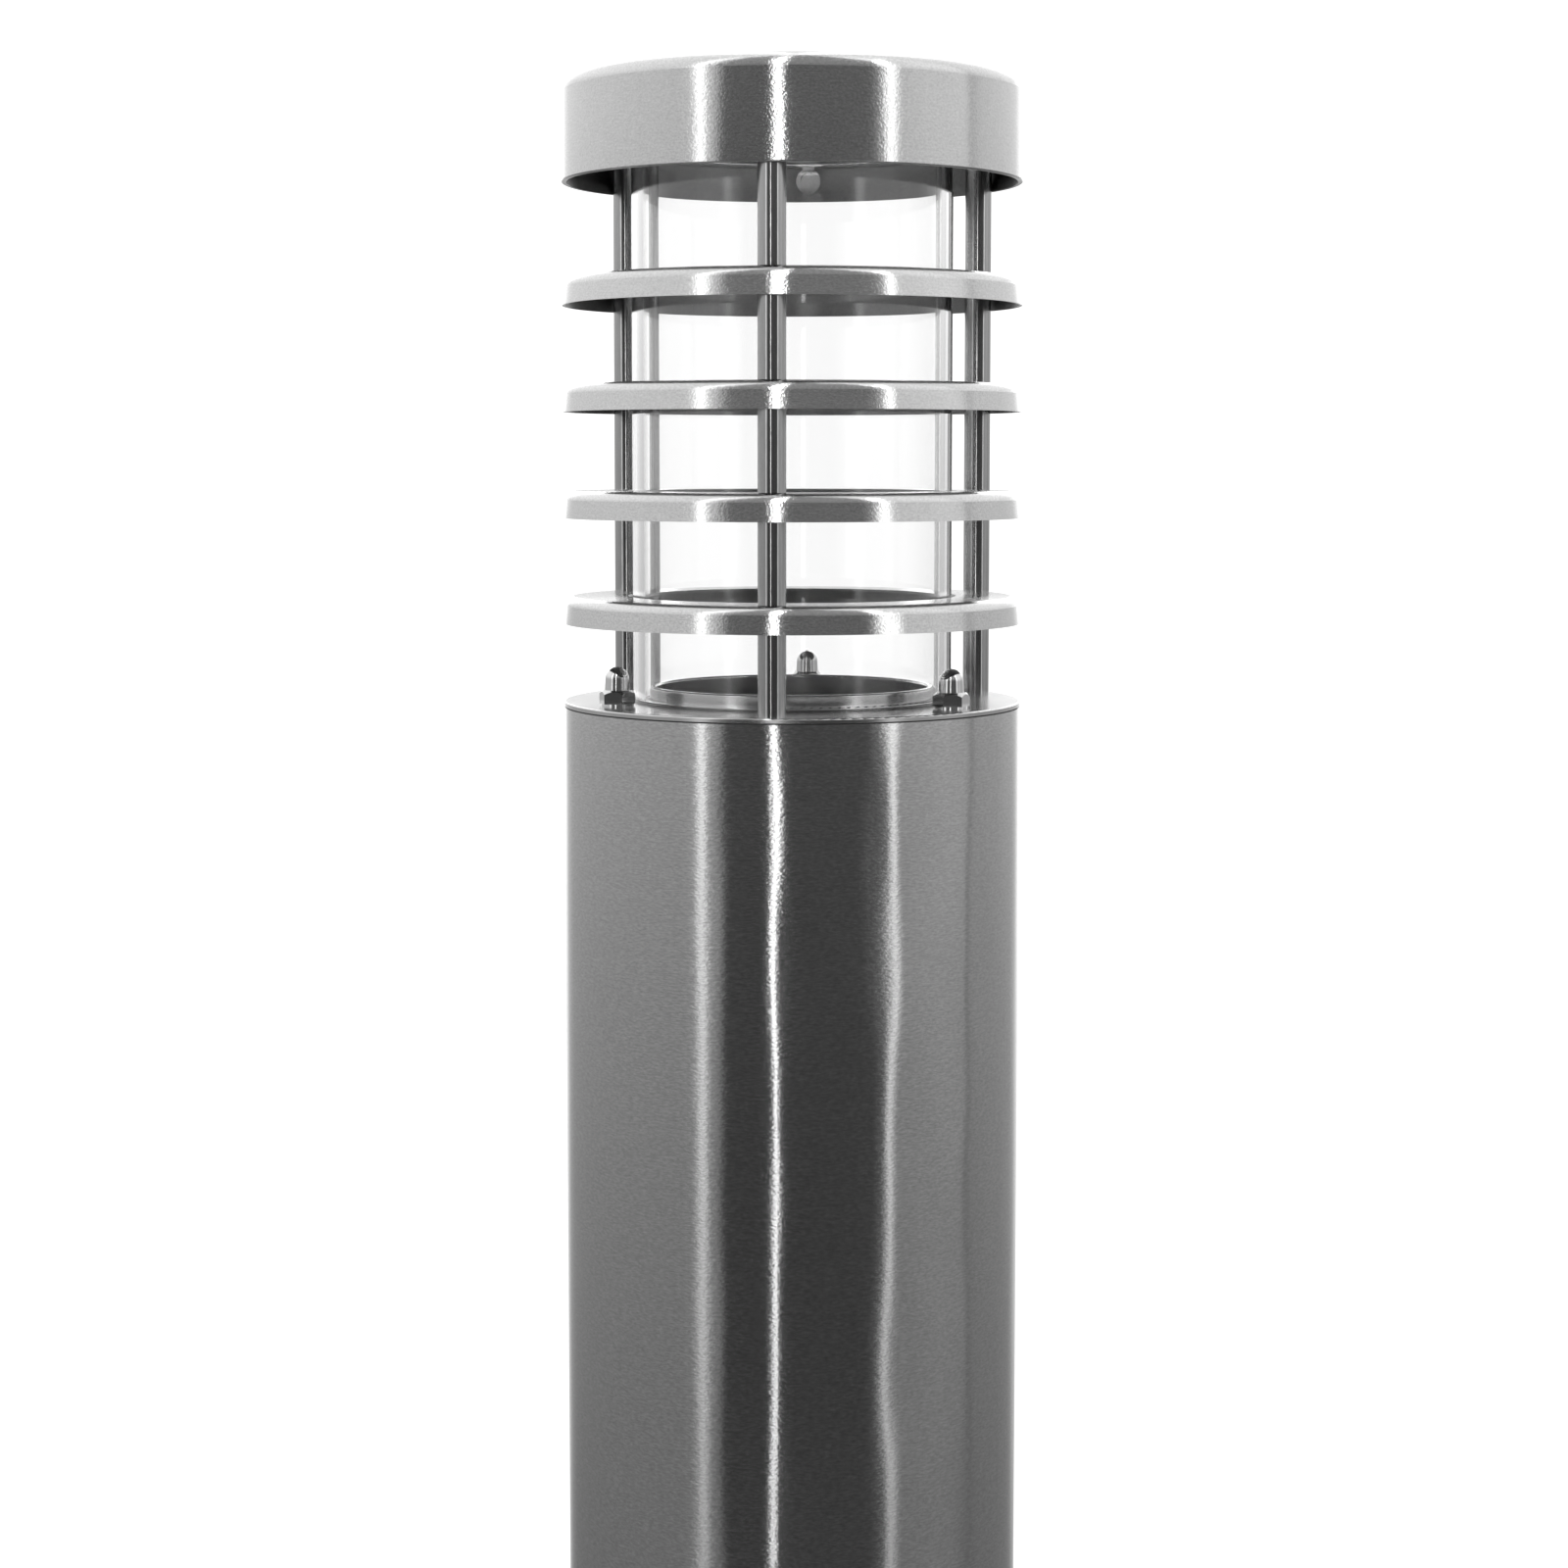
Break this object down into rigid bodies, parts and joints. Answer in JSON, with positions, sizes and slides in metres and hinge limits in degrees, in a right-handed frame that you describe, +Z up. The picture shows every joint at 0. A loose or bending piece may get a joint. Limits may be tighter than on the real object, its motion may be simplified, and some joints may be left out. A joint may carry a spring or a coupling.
{
  "type": "bollard light",
  "caption": "Round brushed steel bollard light on a bolted flange, with a clear diffuser behind pressed louvre rings and a lift-off head held by cap nuts.",
  "frame": {"origin": "centre of the foot flange's underside, on the ground", "axes": "+Z up along the post's axis; the front tie rod stands towards -Y, the cap screw towards +Y"},
  "size_m": [0.15, 0.15, 0.65],
  "materials": {
    "brushed_steel": "brushed round the post",
    "polished_steel": "mirror polished",
    "rod_steel": "bright drawn",
    "bright_fastener": "bright plated",
    "plain_steel": "plain sheet",
    "clear_diffuser": "clear",
    "clear_gasket": "translucent",
    "black_rubber": "matt",
    "ceramic": "glazed",
    "brass": "plain",
    "terminal_plastic": "moulded",
    "lead_brown": "sleeved",
    "lead_blue": "sleeved",
    "lead_green": "sleeved"
  },
  "bodies": {
    "post": {"base_flange": "brushed_steel", "base_spigot": "brushed_steel", "post_tube": "brushed_steel", "post_screws": "bright_fastener", "cable_grommet": "black_rubber", "terminal_bracket": "plain_steel", "terminal_bracket_screw": "bright_fastener", "terminal_block": "terminal_plastic", "terminal_screws": "brass", "earth_screw": "brass", "lead_live": "lead_brown", "lead_neutral": "lead_blue", "lead_earth": "lead_green", "support_ring": "plain_steel", "head_studs": "bright_fastener", "post_gasket": "black_rubber", "holder_bracket": "plain_steel", "bracket_screws": "bright_fastener", "lampholder_body": "ceramic", "lampholder_shell": "brass", "centre_contact": "brass", "lampholder_screws": "bright_fastener"},
    "head": {"head_base_plate": "polished_steel", "locating_collar": "polished_steel", "diffuser_tube": "clear_diffuser", "lower_diffuser_gasket": "clear_gasket", "upper_diffuser_gasket": "clear_gasket", "louvre_ring_1": "brushed_steel", "louvre_ring_2": "brushed_steel", "louvre_ring_3": "brushed_steel", "louvre_ring_4": "brushed_steel", "tie_rod_front": "rod_steel", "spacer_front_1": "rod_steel", "spacer_front_2": "rod_steel", "spacer_front_3": "rod_steel", "spacer_front_4": "rod_steel", "spacer_front_5": "rod_steel", "tie_rod_right": "rod_steel", "spacer_right_1": "rod_steel", "spacer_right_2": "rod_steel", "spacer_right_3": "rod_steel", "spacer_right_4": "rod_steel", "spacer_right_5": "rod_steel", "tie_rod_left": "rod_steel", "spacer_left_1": "rod_steel", "spacer_left_2": "rod_steel", "spacer_left_3": "rod_steel", "spacer_left_4": "rod_steel", "spacer_left_5": "rod_steel", "head_top_plate": "plain_steel", "tie_rod_nuts": "bright_fastener", "cap": "brushed_steel", "cap_screw_bush": "bright_fastener", "cap_screw": "bright_fastener"},
    "nut_washer_right": {"nut_washer_right": "bright_fastener"},
    "cap_nut_right": {"cap_nut_right": "bright_fastener"},
    "nut_washer_rear": {"nut_washer_rear": "bright_fastener"},
    "cap_nut_rear": {"cap_nut_rear": "bright_fastener"},
    "nut_washer_left": {"nut_washer_left": "bright_fastener"},
    "cap_nut_left": {"cap_nut_left": "bright_fastener"}
  },
  "joints": [
    {"name": "head_lift", "type": "slide", "parent": "post", "child": "head", "axis": [0, 0, 1], "range_m": [0, 0.16]},
    {"name": "washer_rise_right", "type": "slide", "parent": "head", "child": "nut_washer_right", "axis": [0, 0, 1], "range_m": [0, 0.0049]},
    {"name": "nut_turn_right", "type": "hinge", "parent": "nut_washer_right", "child": "cap_nut_right", "pos_m": [0.03637, -0.021, 0.514], "axis": [0, 0, 1], "range_deg": [0, 2520.1]},
    {"name": "washer_rise_rear", "type": "slide", "parent": "head", "child": "nut_washer_rear", "axis": [0, 0, 1], "range_m": [0, 0.0049]},
    {"name": "nut_turn_rear", "type": "hinge", "parent": "nut_washer_rear", "child": "cap_nut_rear", "pos_m": [0, 0.042, 0.514], "axis": [0, 0, 1], "range_deg": [0, 2520.1]},
    {"name": "washer_rise_left", "type": "slide", "parent": "head", "child": "nut_washer_left", "axis": [0, 0, 1], "range_m": [0, 0.0049]},
    {"name": "nut_turn_left", "type": "hinge", "parent": "nut_washer_left", "child": "cap_nut_left", "pos_m": [-0.03637, -0.021, 0.514], "axis": [0, 0, 1], "range_deg": [0, 2520.1]}
  ],
  "couplings": [
    {"joint": "nut_turn_right", "follows": "washer_rise_right", "rad_per_m": 8976},
    {"joint": "nut_turn_rear", "follows": "washer_rise_rear", "rad_per_m": 8976},
    {"joint": "nut_turn_left", "follows": "washer_rise_left", "rad_per_m": 8976}
  ]
}
